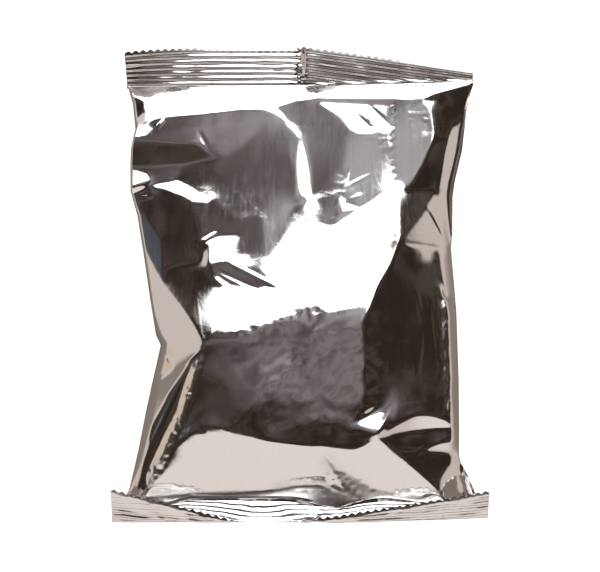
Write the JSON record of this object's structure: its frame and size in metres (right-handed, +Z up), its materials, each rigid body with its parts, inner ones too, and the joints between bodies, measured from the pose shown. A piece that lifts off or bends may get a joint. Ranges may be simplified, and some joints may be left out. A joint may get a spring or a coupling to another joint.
{
  "type": "coffee pillow pack",
  "caption": "Full pillow pack of plain metallised film, lying on its back, with a crimped and toothed seal at the top and at the bottom.",
  "frame": {"origin": "on the table, at the middle of the pack's footprint", "axes": "+X runs across the pack to the right of its front, +Y from the bottom seal to the top seal, +Z up out of the front film"},
  "size_m": [0.133, 0.174, 0.0329],
  "materials": {
    "metallised_film": "polished metallised film with faint rolling streaks and soft creases"
  },
  "bodies": {
    "root": {"pillow_pack": "metallised_film"}
  },
  "joints": []
}
